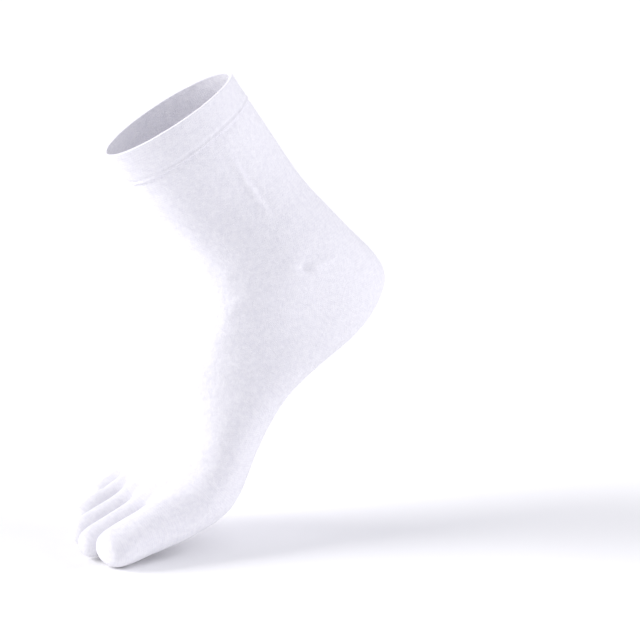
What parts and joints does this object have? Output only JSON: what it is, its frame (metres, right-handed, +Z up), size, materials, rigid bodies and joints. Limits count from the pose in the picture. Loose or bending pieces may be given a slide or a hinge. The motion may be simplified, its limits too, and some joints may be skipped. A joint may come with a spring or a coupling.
{
  "type": "toe sock",
  "caption": "Plain cotton knit ankle sock for the right foot with a separate pocket for every toe, in its worn shape on tiptoe.",
  "frame": {"origin": "centre of the cuff's mouth, where the leg goes in and holds the sock up", "axes": "+Z up with the foot on tiptoe, -Y the way the toes point, +X the big toe's side"},
  "size_m": [0.1014, 0.1927, 0.2324],
  "materials": {
    "knit": "matt fine plain knit cotton",
    "band_knit": "matt doubled knit band"
  },
  "bodies": {
    "root": {"sock_leg": "knit", "sock_ankle": "knit", "sock_heel": "knit", "sock_foot": "knit", "sock_ball": "knit", "big_toe": "knit", "second_toe": "knit", "third_toe": "knit", "fourth_toe": "knit", "little_toe": "knit", "cuff_band": "band_knit"}
  },
  "joints": []
}
